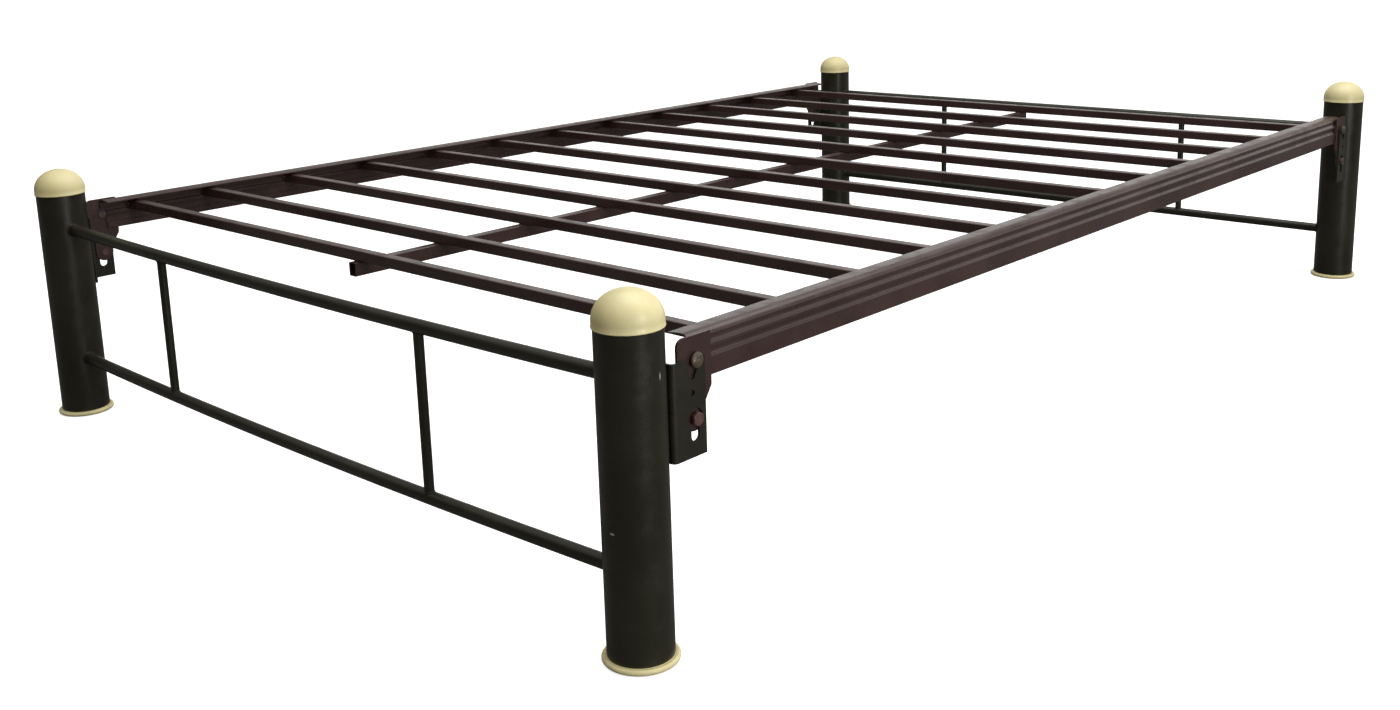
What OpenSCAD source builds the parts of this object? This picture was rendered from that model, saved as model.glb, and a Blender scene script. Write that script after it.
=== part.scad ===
// Metal bed frame: two welded end frames, and two rails with slats that hook on between them.
// X runs across the bed, Y along it from the foot end to the head end, and Z is up.
// The origin is on the floor, midway between the four posts.

/* [Overall] */
// Distance across the bed between the axes of the posts
frame_w = 1340; // [900:10:1900]
// Distance along the bed between the axes of the posts
frame_l = 2140; // [1700:10:2300]

/* [Posts] */
// Outer diameter of a post
post_d = 76.2; // [60:0.1:90]
// Wall of a post
post_wall = 1.6; // [1:0.1:3]
// Height of a post's upper end
post_top = 378; // [360:1:600]

/* [Caps and feet] */
// Diameter of a cap's rim
cap_d = 79.6; // [79:0.1:95]
// Height of a cap over its post
cap_h = 41; // [30:1:42]
// Height of the straight rim under the dome
cap_rim_h = 9; // [4:1:14]
// Diameter of a foot's flange
foot_d = 88; // [84:1:110]
// Thickness of a foot's flange
foot_h = 7; // [5:1:12]
// Length of the ring of a cap or a foot that is inside the post
plug_l = 24; // [15:1:40]

/* [End frames] */
// Diameter of the two cross tubes of an end frame
tube_d = 18; // [14:1:25]
// Wall of a cross tube
tube_wall = 1.5; // [1:0.1:2.5]
// Height of the upper tube's axis
upper_tube_z = 320; // [300:1:340]
// Height of the lower tube's axis
lower_tube_z = 99; // [60:1:140]
// How far the foot end's tubes bow outward at their middle
foot_end_bow = 15; // [5:1:40]
// Diameter of the upright rods between the cross tubes
rod_d = 13; // [8:1:16]
// Distance between the two rods of an end frame
rod_spacing = 636; // [300:2:800]

/* [Brackets] */
// Thickness of the angle brackets
bracket_t = 3; // [2:0.5:5]
// Height of a bracket
bracket_h = 112; // [110:1:125]
// Height of a bracket's upper end
bracket_top = 330; // [326:1:332]
// Length of the flange that carries the rail
flange_l = 52; // [50:1:60]

/* [Rails] */
// Width of a rail's top, from its free edge to the outer face
rail_w = 34; // [30:1:40]
// Height of a rail, from its lower edge to its crown
rail_h = 53; // [50:1:60]
// Height of the flat strip along the web's lower edge
rail_strip_h = 11; // [6:1:14]
// Height of a rail's top
rail_top = 354; // [354:1:357]
// Thickness of a rail's sheet
rail_wall = 1.5; // [1:0.1:2]
// Distance from a post's axis to the end of a rail
rail_inset = 72; // [68:1:74]
// Thickness of the plate on each end of a rail
plate_t = 3; // [2:0.5:4]

/* [Slats] */
// Width and height of a slat's square tube
slat_size = 16; // [12:1:20]
// Wall of a slat and of the centre tube
slat_wall = 1.2; // [1:0.1:2]
// Height of the slats' top faces
slat_top = 346; // [344:1:346]
// Distance from the foot end's posts to the first slat
first_inset = 129; // [110:1:160]
// Distance from the foot end's posts to the second slat
second_inset = 270; // [240:1:320]
// Distance from the head end's posts to the last slat
last_inset = 172; // [140:1:200]
// Distance from the head end's posts to the slat before the last
before_last_inset = 358; // [320:1:400]
// Width of the centre tube under the slats
centre_w = 16; // [12:1:30]
// Height of the centre tube
centre_h = 20; // [15:1:30]

/* [Hidden] */
$fn = 96;
eps = 0.01;
bow_fn = 6000;
slat_count = 12;

half_w = frame_w / 2;
half_l = frame_l / 2;
post_r = post_d / 2;
post_bore_r = post_r - post_wall;
plug_gap = 0.2;
plug_r = post_bore_r - plug_gap;
plug_wall = 2.4;
dome_h = cap_h - cap_rim_h;
dome_r = ((cap_d / 2) ^ 2 + dome_h ^ 2) / (2 * dome_h);

// A bracket's post leg is let into the post's side, and the flange stands outward of the rail.
leg_depth = 1.5;
leg_inset = post_r - leg_depth;
flange_out = 26;
flange_x = half_w + flange_out;
bend_r = 6;

// A rail's end plate is inside the flange, and the rail is inside the plate.
plate_x = flange_x - bracket_t;
rail_x = plate_x - plate_t;
rail_inner_x = rail_x - rail_w;
rail_l = frame_l - 2 * rail_inset;
rail_bottom = rail_top - rail_h;
shoulder_r = 12;
crown_r = 100;
groove_depth = 2.2;

// Places of the studs: u is the distance from the post's axis along the bed.
upper_stud_u = 75;
upper_stud_z = bracket_top - 3;
lower_stud_u = 73;
lower_stud_z = bracket_top - 69;
upper_shank_d = 10;
lower_shank_d = 9.4;
head_gap = 0.3;
tongue_r = 15;

slat_pitch = (frame_l - second_inset - before_last_inset) / (slat_count - 3);
centre_top = slat_top - slat_size;

corners = [
    ["front_left", -1, -1],
    ["front_right", 1, -1],
    ["rear_left", -1, 1],
    ["rear_right", 1, 1]
];
ends = [["front", -1], ["rear", 1]];
sides = [["left", -1], ["right", 1]];

function slat_y(i) =
    i == 1 ? -half_l + first_inset :
    i == slat_count ? half_l - last_inset :
    -half_l + second_inset + (i - 2) * slat_pitch;
function slat_name(i) = str("slat_", i < 10 ? "0" : "", i);

// Radius of a bowed tube's axis, from its bow over the chord between the posts.
function bow_radius(bow) = (half_w ^ 2 + bow ^ 2) / (2 * bow);
// How far a bowed tube is from its chord, at x from the middle.
function bow_at(bow, x) = bow - bow_radius(bow) + sqrt(bow_radius(bow) ^ 2 - x ^ 2);

// Puts a piece that is drawn at the rear right corner at the corner c.
module at_corner(c) {
    mirror([c[1] < 0 ? 1 : 0, 0, 0])
        mirror([0, c[2] < 0 ? 1 : 0, 0])
            children();
}

module ring(outer_r, inner_r, h) {
    difference() {
        cylinder(h = h, r = outer_r);
        translate([0, 0, -1]) cylinder(h = h + 2, r = inner_r);
    }
}

module post(c) {
    color([0.13, 0.13, 0.11])
        translate([c[1] * half_w, c[2] * half_l, foot_h])
            ring(post_r, post_bore_r, post_top - foot_h);
}

// The dome is part of a sphere over a straight rim, and it is hollow.
module cap_dome(r, ball_r, shrink) {
    union() {
        cylinder(h = cap_rim_h, r = r);
        intersection() {
            translate([0, 0, cap_h - shrink - ball_r]) sphere(r = ball_r);
            translate([0, 0, cap_rim_h - eps]) cylinder(h = cap_h, r = r);
        }
    }
}

module cap(c) {
    wall = 2.5;
    color([0.93, 0.89, 0.70])
        translate([c[1] * half_w, c[2] * half_l, post_top])
            union() {
                difference() {
                    cap_dome(cap_d / 2, dome_r, 0);
                    translate([0, 0, -eps])
                        cap_dome(plug_r - plug_wall, dome_r - wall, wall);
                }
                translate([0, 0, -plug_l]) ring(plug_r, plug_r - plug_wall, plug_l);
            }
}

// A foot's flange has a rounded rim, which its section shows as a half disc.
module foot(c) {
    color([0.90, 0.85, 0.64])
        translate([c[1] * half_w, c[2] * half_l, 0])
            union() {
                cylinder(h = foot_h, r = foot_d / 2 - foot_h / 2);
                rotate_extrude()
                    translate([foot_d / 2 - foot_h / 2, foot_h / 2])
                        intersection() {
                            circle(r = foot_h / 2);
                            translate([0, -foot_h]) square([foot_h, 2 * foot_h]);
                        }
                translate([0, 0, foot_h]) ring(plug_r, plug_r - plug_wall, plug_l);
            }
}

// The post's outer surface at both ends, which a cross tube is cut to fit.
module post_cutters(side_y) {
    for (s = [-1, 1])
        translate([s * half_w, side_y, -1]) cylinder(h = post_top + 2, r = post_r);
}

// A tube's round section swept along its bow, or along the straight chord.
module bowed_bar(r, bow) {
    radius = bow_radius(bow);
    sweep = 2 * asin(half_w / radius);
    translate([0, bow - radius, 0])
        rotate([0, 0, 90 - sweep / 2])
            rotate_extrude(angle = sweep, $fn = bow_fn)
                translate([radius, 0]) circle(r = r, $fn = 48);
}

module straight_bar(r) {
    translate([-half_w, 0, 0]) rotate([0, 90, 0]) cylinder(h = frame_w, r = r);
}

module end_bar(e, r) {
    if (e[1] < 0)
        translate([0, -half_l, 0]) mirror([0, 1, 0]) bowed_bar(r, foot_end_bow);
    else
        translate([0, half_l, 0]) straight_bar(r);
}

module end_tube(e, z) {
    color([0.17, 0.17, 0.15])
        difference() {
            translate([0, 0, z])
                difference() {
                    end_bar(e, tube_d / 2);
                    end_bar(e, tube_d / 2 - tube_wall);
                }
            post_cutters(e[1] * half_l);
        }
}

module rod(e, s) {
    x = s[1] * rod_spacing / 2;
    y = e[1] < 0 ? -half_l - bow_at(foot_end_bow, x) : half_l;
    color([0.15, 0.15, 0.13])
        difference() {
            translate([x, y, lower_tube_z]) cylinder(h = upper_tube_z - lower_tube_z, d = rod_d);
            for (z = [lower_tube_z, upper_tube_z])
                translate([0, 0, z]) end_bar(e, tube_d / 2);
        }
}

// The bracket's section, seen from above: x is outward and y is toward the bed's middle.
module bracket_section() {
    leg_l = 14;
    difference() {
        translate([-leg_l, 0]) square([flange_out + leg_l, flange_l]);
        translate([-leg_l - 1, bracket_t]) square([flange_out + leg_l + 1 - bracket_t, flange_l]);
        translate([flange_out - bend_r, -1]) difference() {
            square([bend_r + 1, bend_r + 1]);
            translate([0, bend_r + 1]) circle(r = bend_r);
        }
    }
}

// Cuts through the flange: an open hook slot, a round hole and a keyhole.
// The hook slot narrows downward beside the upper stud's shank, which clears its far edge.
module bracket_cuts() {
    hook_end_r = 4.5;
    hook_u = 68;
    hook_z = bracket_top - 19.5;
    hook_mouth_near_u = 59;
    hook_mouth_far_u = 83.5;
    spare_hole_d = 7;
    spare_hole_u = 67.5;
    spare_hole_z = bracket_top - 39;
    keyhole_d = 23.6;
    keyhole_u = 71;
    keyhole_z = bracket_top - 68;
    slot_w = 13;
    slot_u = 70.5;
    slot_z = bracket_top - 87.5;
    through = 20;
    translate([flange_x - through / 2, half_l, 0]) mirror([0, 1, 0]) rotate([90, 0, 90]) {
        linear_extrude(through)
            polygon([
                [hook_u - hook_end_r, hook_z],
                [hook_u + hook_end_r, hook_z],
                [hook_mouth_far_u, bracket_top + 1],
                [hook_mouth_near_u, bracket_top + 1]
            ]);
        translate([hook_u, hook_z, 0]) cylinder(h = through, r = hook_end_r);
        translate([spare_hole_u, spare_hole_z, 0]) cylinder(h = through, d = spare_hole_d);
        translate([keyhole_u, keyhole_z, 0]) cylinder(h = through, d = keyhole_d);
        translate([slot_u - slot_w / 2, slot_z, 0])
            cube([slot_w, keyhole_z - slot_z, through]);
        translate([slot_u, slot_z, 0]) cylinder(h = through, d = slot_w);
    }
}

module bracket(c) {
    color([0.16, 0.17, 0.14])
        at_corner(c)
            difference() {
                translate([half_w, half_l - leg_inset, bracket_top - bracket_h])
                    mirror([0, 1, 0]) linear_extrude(bracket_h) bracket_section();
                translate([half_w, half_l, 0]) cylinder(h = post_top, r = post_r);
                bracket_cuts();
            }
}

// The plate's outline: y is the distance from the post's axis, z is the height.
module plate_outline() {
    near_u = 48;
    far_u = 102;
    corner_r = 10;
    // Heights at which the outline begins to narrow, and at which it meets the tongue
    near_z = lower_stud_z + 28;
    near_tongue_z = lower_stud_z + 18;
    far_z = rail_bottom - 9;
    far_tongue_z = lower_stud_z + 10;
    difference() {
        polygon([
            [near_u, near_z],
            [near_u, rail_top],
            [far_u, rail_top],
            [far_u, far_z],
            [lower_stud_u + tongue_r, far_tongue_z],
            [lower_stud_u + tongue_r, lower_stud_z],
            [lower_stud_u - tongue_r, lower_stud_z],
            [lower_stud_u - tongue_r, near_tongue_z]
        ]);
        translate([near_u - 1, rail_top - corner_r]) difference() {
            square([corner_r + 1, corner_r + 1]);
            translate([corner_r + 1, 0]) circle(r = corner_r);
        }
    }
}

// The tongue of a plate ends in a round around the lower stud.
module end_plate(c) {
    color([0.22, 0.16, 0.15])
        at_corner(c)
            translate([rail_x, half_l, 0]) mirror([0, 1, 0]) rotate([90, 0, 90])
                difference() {
                    union() {
                        linear_extrude(plate_t) plate_outline();
                        translate([lower_stud_u, lower_stud_z, 0]) cylinder(h = plate_t, r = tongue_r);
                    }
                    translate([upper_stud_u, upper_stud_z, -1])
                        cylinder(h = plate_t + 2, d = upper_shank_d);
                    translate([lower_stud_u, lower_stud_z, -1])
                        cylinder(h = plate_t + 2, d = lower_shank_d);
                }
}

// The outline of a rail's sheet, moved inward by shrink: a crowned top, a round shoulder and a web.
// x is outward from the top's free edge, and y is the height over the web's lower edge.
module rail_outline(shrink) {
    crown_x = rail_w - shoulder_r;
    intersection() {
        difference() {
            translate([-shrink, -shrink]) square([rail_w, rail_h]);
            translate([crown_x, rail_h - shoulder_r]) difference() {
                square(shoulder_r + 1);
                circle(r = shoulder_r - shrink);
            }
        }
        translate([crown_x, rail_h - crown_r]) circle(r = crown_r - shrink, $fn = 360);
    }
}

// One folded sheet: two grooves are pressed along the web, and its lower edge is turned up inside.
module rail_section() {
    // Each groove along the web: its height and its radius
    grooves = [[rail_h - 10.5, 10], [rail_h - 26, 6.8]];
    hem_t = 2 * rail_wall;
    difference() {
        union() {
            difference() {
                rail_outline(0);
                rail_outline(rail_wall);
            }
            translate([rail_w - hem_t, 0]) square([hem_t, rail_strip_h]);
            intersection() {
                for (g = grooves)
                    translate([rail_w + g[1] - groove_depth, g[0]]) circle(r = g[1] + rail_wall);
                rail_outline(0);
            }
        }
        for (g = grooves)
            translate([rail_w + g[1] - groove_depth, g[0]]) circle(r = g[1]);
    }
}

// The web is cut back at both ends of a rail, around the riveted tails of the upper studs.
module rail(s) {
    notch_l = 10;
    notch_h = upper_stud_z + 10 - rail_bottom;
    color([0.25, 0.19, 0.18])
        mirror([s[1] < 0 ? 1 : 0, 0, 0])
            translate([rail_inner_x, rail_l / 2, rail_bottom])
                rotate([90, 0, 0]) difference() {
                    linear_extrude(rail_l) rail_section();
                    for (z = [-1, rail_l - notch_l])
                        translate([-1, -1, z]) cube([rail_w + 2, notch_h + 1, notch_l + 1]);
                }
}

module box_tube(w, h, wall, l) {
    difference() {
        cube([w, l, h]);
        translate([wall, -1, wall]) cube([w - 2 * wall, l + 2, h - 2 * wall]);
    }
}

// A slat runs under the rails' tops and ends at the ridges that the grooves leave inside the webs.
module slat(i) {
    reach = rail_x - groove_depth - rail_wall;
    color([0.26, 0.20, 0.19])
        translate([reach, slat_y(i) - slat_size / 2, slat_top - slat_size])
            rotate([0, 0, 90]) box_tube(slat_size, slat_size, slat_wall, 2 * reach);
}

module centre_tube() {
    overhang = 16;
    y0 = slat_y(1) - overhang;
    y1 = slat_y(slat_count) + overhang;
    color([0.24, 0.18, 0.17])
        translate([-centre_w / 2, y0, centre_top - centre_h])
            box_tube(centre_w, centre_h, slat_wall, y1 - y0);
}

// A stud is riveted to its plate, and its head stands just clear of the flange.
// The studs are drawn along z, from the plate's inner face outward.
module stud_shank(shank_d) {
    tail_h = 2;
    tail_d = shank_d + 3;
    translate([0, 0, -tail_h]) cylinder(h = tail_h, d = tail_d);
    cylinder(h = plate_t + bracket_t + head_gap, d = shank_d);
}

module upper_stud() {
    head_d = 18;
    head_h = 4.5;
    ball_r = ((head_d / 2) ^ 2 + head_h ^ 2) / (2 * head_h);
    stud_shank(upper_shank_d);
    translate([0, 0, plate_t + bracket_t + head_gap])
        rotate_extrude()
            intersection() {
                square([head_d / 2, head_h]);
                translate([0, head_h - ball_r]) circle(r = ball_r);
            }
}

module lower_stud() {
    head_d = 17;
    head_h = 4;
    stud_shank(lower_shank_d);
    translate([0, 0, plate_t + bracket_t + head_gap])
        cylinder(h = head_h, d = head_d, $fn = 6);
}

module at_stud(c, u, z) {
    at_corner(c) translate([rail_x, half_l - u, z]) rotate([0, 90, 0]) children();
}

module upper_studs() {
    color([0.32, 0.27, 0.22])
        for (c = corners)
            at_stud(c, upper_stud_u, upper_stud_z) upper_stud();
}

module lower_studs() {
    color([0.30, 0.18, 0.16])
        for (c = corners)
            at_stud(c, lower_stud_u, lower_stud_z) lower_stud();
}

for (c = corners) {
    post(c);
    cap(c);
    foot(c);
    bracket(c);
    end_plate(c);
}
for (e = ends) {
    end_tube(e, upper_tube_z);
    end_tube(e, lower_tube_z);
    for (s = sides)
        rod(e, s);
}
for (s = sides)
    rail(s);
for (i = [1 : slat_count])
    slat(i);
centre_tube();
upper_studs();
lower_studs();
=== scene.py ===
"""The looks of a knock-down metal bed frame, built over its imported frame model.

Two welded end frames carry two side rails, and twelve slats and a centre tube are welded between
the rails. Lengths are in metres: X runs across the bed, Y from the foot end to the head end, Z up.
"""

import math
import random

import bmesh
import bpy
from bpy.props import FloatProperty, FloatVectorProperty, IntProperty, PointerProperty
from mathutils import Matrix, Vector
from mathutils.geometry import tessellate_polygon


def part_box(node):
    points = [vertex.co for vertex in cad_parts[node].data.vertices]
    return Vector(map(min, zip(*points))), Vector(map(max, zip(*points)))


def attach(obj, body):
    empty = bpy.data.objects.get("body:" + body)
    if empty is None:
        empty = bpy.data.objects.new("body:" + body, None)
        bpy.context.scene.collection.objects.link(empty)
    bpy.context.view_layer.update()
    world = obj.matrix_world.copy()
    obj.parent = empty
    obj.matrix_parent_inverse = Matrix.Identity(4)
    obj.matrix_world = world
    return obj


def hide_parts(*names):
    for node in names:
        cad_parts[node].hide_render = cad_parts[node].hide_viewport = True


bl_info = {
    "name": "Metal Bed Frame",
    "version": (1, 0, 0),
    "blender": (4, 5, 0),
    "location": "View3D > Sidebar > Bed Frame",
    "description": "Builds a metal bed frame with posts, end frames, hooked side rails and slats",
    "category": "Add Mesh",
}

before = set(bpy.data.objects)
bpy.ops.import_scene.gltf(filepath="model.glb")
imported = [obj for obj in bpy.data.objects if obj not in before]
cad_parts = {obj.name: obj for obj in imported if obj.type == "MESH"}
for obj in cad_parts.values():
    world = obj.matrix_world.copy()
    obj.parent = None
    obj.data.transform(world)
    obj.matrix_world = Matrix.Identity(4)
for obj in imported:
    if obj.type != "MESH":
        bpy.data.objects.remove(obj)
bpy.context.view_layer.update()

MM = 0.001
CORNERS = (
    ("front_left", -1, -1),
    ("front_right", 1, -1),
    ("rear_left", -1, 1),
    ("rear_right", 1, 1),
)
ENDS = (("front", -1), ("rear", 1))
SIDES = (("left", -1), ("right", 1))
SLAT_COUNT = sum(name.startswith("slat_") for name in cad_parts)

POST_LOW, POST_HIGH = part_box("post_rear_right")
CAP_LOW, CAP_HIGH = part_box("cap_rear_right")
FOOT_LOW, FOOT_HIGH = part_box("foot_rear_right")
BAR_LOW, BAR_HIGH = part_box("rear_upper_tube")
BOWED_LOW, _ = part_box("front_upper_tube")
LOWER_BAR_LOW, LOWER_BAR_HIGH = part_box("rear_lower_tube")
UPRIGHT_LOW, UPRIGHT_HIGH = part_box("rear_right_rod")
BRACKET_LOW, BRACKET_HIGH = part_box("bracket_rear_right")
PLATE_LOW, PLATE_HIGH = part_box("end_plate_rear_right")
RAIL_LOW, RAIL_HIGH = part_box("right_rail")
SPINE_LOW, SPINE_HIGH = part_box("centre_tube")

POST_X = (POST_LOW.x + POST_HIGH.x) / 2
POST_Y = (POST_LOW.y + POST_HIGH.y) / 2
POST_R = (POST_HIGH.x - POST_LOW.x) / 2
BAR_R = (BAR_HIGH.z - BAR_LOW.z) / 2
UPPER_BAR_Z = (BAR_LOW.z + BAR_HIGH.z) / 2
LOWER_BAR_Z = (LOWER_BAR_LOW.z + LOWER_BAR_HIGH.z) / 2
BOW = -BOWED_LOW.y - POST_Y - BAR_R
BOW_R = (POST_X**2 + BOW**2) / (2 * BOW)
BOW_SWEEP = math.asin(POST_X / BOW_R)
UPRIGHT_X = (UPRIGHT_LOW.x + UPRIGHT_HIGH.x) / 2
UPRIGHT_R = (UPRIGHT_HIGH.x - UPRIGHT_LOW.x) / 2

# Details of the plastic, the tubes and the rails' section.
PLUG_GAP = 0.2 * MM
LIP_STEP = 0.45 * MM
BOWED_SPANS, STRAIGHT_SPANS = 48, 2
GROOVES = ((10.5 * MM, 10 * MM), (26 * MM, 6.8 * MM))  # drop from the top, radius
GROOVE_DEPTH = 2.2 * MM

# An angle bracket's openings: U is the distance from the post's axis, DROP from the top.
HOOK_U, HOOK_DROP, HOOK_R = 68 * MM, 19.5 * MM, 4.5 * MM
MOUTH_NEAR, MOUTH_FAR = 59.2 * MM, 83 * MM
SPARE_U, SPARE_DROP, SPARE_R = 67.5 * MM, 39 * MM, 3.5 * MM
KEY_U, KEY_DROP, KEY_R = 71 * MM, 68 * MM, 11.8 * MM
SLOT_U, SLOT_DROP, SLOT_R = 70.5 * MM, 87.5 * MM, 6.5 * MM

# The studs.
UPPER_STUD_Z = BRACKET_HIGH.z - 3 * MM
UPPER_SHANK_R, UPPER_HEAD_R = 5 * MM, 9 * MM
LOWER_SHANK_R, LOWER_HEAD_R = 4.7 * MM, 8.5 * MM
TAIL = 2 * MM


# ---- Sizes, colours and stage settings ----


def length(name, description, default):
    """A length property in metres."""
    return FloatProperty(name=name, description=description, default=default, unit="LENGTH")


def angle(name, description, default):
    """An angle property in radians."""
    return FloatProperty(name=name, description=description, default=default, subtype="ANGLE")


def paint(name, description, default):
    """A colour property."""
    return FloatVectorProperty(name=name, description=description, default=default,
                               subtype="COLOR", size=3, min=0, max=1)


class BedFrameSizes(bpy.types.PropertyGroup):
    """Sizes of the pieces that the frame model's boxes don't give."""

    post_wall: length("Post wall", "Wall of a post", 1.6 * MM)
    cap_rim: length("Cap rim", "Height of the straight rim under a cap's dome", 8 * MM)
    cap_lip: length("Cap lip", "Height of the lip round the foot of a cap", 1.7 * MM)
    cap_wall: length("Cap wall", "Wall of a cap and of its ring inside the post", 2.4 * MM)
    bar_wall: length("Cross tube wall", "Wall of the end frames' cross tubes", 1.5 * MM)
    bracket_sheet: length("Bracket sheet", "Thickness of the angle brackets", 3 * MM)
    bracket_bend: length("Bracket bend", "Outer radius of an angle bracket's bend", 6 * MM)
    bracket_depth: length("Bracket depth", "How deep a bracket is let into its post", 1.5 * MM)
    hook_u: length("Upper stud place", "From a post's axis to the upper stud", 75 * MM)
    keyhole_u: length("Lower stud place", "From a post's axis to the lower stud", 73 * MM)
    keyhole_drop: length("Lower stud drop", "From a bracket's top down to the lower stud", 69 * MM)
    tongue: length("Tongue radius", "Radius of the tongue under an end plate", 15 * MM)
    rail_wall: length("Rail sheet", "Thickness of a side rail's sheet", 1.5 * MM)
    rail_hem: length("Rail hem", "Height of the strip along a side rail's lower edge", 11 * MM)
    rail_crown: length("Rail crown", "Radius of a side rail's crowned top", 100 * MM)
    rail_notch: length("Rail notch", "How far the web is cut back at a side rail's end", 10 * MM)
    rail_shoulder: length("Rail shoulder", "Radius of a side rail's outer shoulder", 12 * MM)
    slat_corner: length("Slat corner", "Corner radius of the slats' square tube", 2 * MM)
    slat_wall: length("Slat wall", "Wall of the slats and the centre tube", 1.2 * MM)
    cut_edge: length("Cut edge", "Rounding along the edges of cut sheet", 0.45 * MM)
    bead: length("Weld bead", "Radius of a weld bead", 1.9 * MM)


class BedFrameFinishes(bpy.types.PropertyGroup):
    """Colours of the paints and the plastic."""

    black: paint("Post paint", "Olive black of the end frames", (0.0108, 0.0101, 0.0045))
    black_light: paint("Post paint, thin", "Where the black is thin", (0.0185, 0.0175, 0.0085))
    brown: paint("Rail paint", "Chocolate brown of the rails and slats", (0.032, 0.0135, 0.012))
    brown_light: paint("Rail paint, thin", "Where the brown is thin", (0.049, 0.024, 0.020))
    cream: paint("Cap plastic", "Ivory of the caps and feet", (0.76, 0.685, 0.375))
    cream_aged: paint("Cap plastic, aged", "Yellowed parts of the plastic", (0.70, 0.62, 0.305))
    # Primer colour also paints a highlight on the front right post.
    primer: paint("Primer", "What shows in a chip of paint", (0.42, 0.43, 0.38))
    dust: paint("Dust", "Dust that has settled on the paint", (0.32, 0.28, 0.24))
    steel: paint("Worn steel", "Bare steel on the heads of the studs", (0.23, 0.19, 0.145))
    soil: paint("Soil", "Grime rubbed into the plastic", (0.50, 0.42, 0.25))
    specks: paint("Specks", "Dark specks on the plastic", (0.33, 0.27, 0.16))
    rust: paint("Rust", "Rust on the heads of the studs", (0.10, 0.042, 0.022))
    upper_stud: paint("Upper stud", "Paint of the upper studs", (0.045, 0.034, 0.022))
    upper_stud_light: paint("Upper stud, thin", "Where that paint is thin", (0.085, 0.064, 0.042))
    lower_stud_light: paint("Lower stud, thin", "Where the lower studs' paint is thin",
                            (0.11, 0.05, 0.042))


class BedFrameStage(bpy.types.PropertyGroup):
    """Camera, light and floor."""

    camera_place: FloatVectorProperty(
        name="Camera place", description="Where the camera stands", subtype="TRANSLATION",
        default=(1.69805, -2.07481, 0.78575), size=3, unit="LENGTH",
    )
    heading: angle("Heading", "Turn of the camera from +Y towards +X", -0.7497)
    tilt: angle("Tilt", "Tilt of the camera above the level", -0.2105)
    roll: angle("Roll", "Roll of the camera about its sight line", -0.0307)
    lens: FloatProperty(
        name="Lens", description="Focal length", default=36.72, min=1, subtype="DISTANCE_CAMERA"
    )
    shift: FloatVectorProperty(
        name="Shift", description="Shift of the lens, as a share of the width", size=2,
        default=(0.0071, -0.09),
    )
    sky: FloatProperty(name="Sky", description="Strength of the studio's light", default=1.0)
    floor_size: length("Floor size", "Side of the floor", 80.0)
    seed: IntProperty(name="Seed", description="Seed of the weld beads' ripple", default=7, min=0)


# ---- Mesh tools ----


def build_mesh(name, points, faces, crease):
    """A clean mesh, smooth but for edges sharper than crease degrees."""
    mesh = bpy.data.meshes.new(name)
    mesh.from_pydata([tuple(p) for p in points], [], faces)
    work = bmesh.new()
    work.from_mesh(mesh)
    bmesh.ops.remove_doubles(work, verts=work.verts, dist=1e-6)
    bmesh.ops.dissolve_degenerate(work, edges=work.edges, dist=1e-7)
    bmesh.ops.recalc_face_normals(work, faces=work.faces)
    work.to_mesh(mesh)
    work.free()
    mesh.shade_smooth()
    mesh.set_sharp_from_angle(angle=math.radians(crease))
    return mesh


def add_piece(name, solid, material, slot, *stands_for, crease=32, flat=False):
    """Puts a solid of points and faces in the scene, on the frame's one body.

    flat keeps its flat faces flat beside their rounded edges.
    """
    mesh = build_mesh(name, *solid, crease)
    piece = bpy.data.objects.new(name, mesh)
    bpy.context.scene.collection.objects.link(piece)
    mesh.materials.append(material)
    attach(piece, "root")
    if stands_for:
        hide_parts(*stands_for)
    if flat:
        piece.modifiers.new("flat_faces", "WEIGHTED_NORMAL").keep_sharp = True
    return piece


def add_painted(name, solid, paint_name, *stands_for, **options):
    """Puts a painted steel solid in the scene."""
    slot = f"{COATS[paint_name]['tone']}_paint"
    return add_piece(name, solid, coat(paint_name), slot, *stands_for, **options)


def round_cut_edges(piece, width):
    """Rounds the sharp edges of a piece of cut sheet."""
    bevel = piece.modifiers.new("cut_edges", "BEVEL")
    bevel.width = width
    bevel.segments = 2
    bevel.limit_method = "ANGLE"
    bevel.angle_limit = math.radians(50)
    bevel.harden_normals = True


def loft(rings, loop=False):
    """Points and faces between rings of equally many points; loop joins the last to the first."""
    count = len(rings[0])
    faces = []
    for i in range(len(rings) if loop else len(rings) - 1):
        low, high = i * count, (i + 1) % len(rings) * count
        for j in range(count):
            k = (j + 1) % count
            faces.append((low + j, low + k, high + k, high + j))
    return [p for ring in rings for p in ring], faces


def join(parts):
    """One list of points and one of faces from several."""
    points, faces = [], []
    for part_points, part_faces in parts:
        start = len(points)
        points += part_points
        faces += [tuple(start + i for i in face) for face in part_faces]
    return points, faces


def full_turn(steps):
    """Evenly spaced angles all the way round."""
    return [2 * math.pi * k / steps for k in range(steps)]


def turned(profile, side, end, steps=96, loop=False):
    """A profile of (radius, height) turned about a post's axis."""
    x, y = side * POST_X, end * POST_Y
    rings = [[Vector((x + r * math.cos(a), y + r * math.sin(a), z)) for a in full_turn(steps)]
             for r, z in profile]
    return loft(rings, loop)


def arc(centre, radius, start, end, steps):
    """Points of an arc in a plane; the angles are in degrees."""
    angles = [math.radians(start + (end - start) * i / steps) for i in range(steps + 1)]
    return [(centre[0] + radius * math.cos(a), centre[1] + radius * math.sin(a)) for a in angles]


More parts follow.
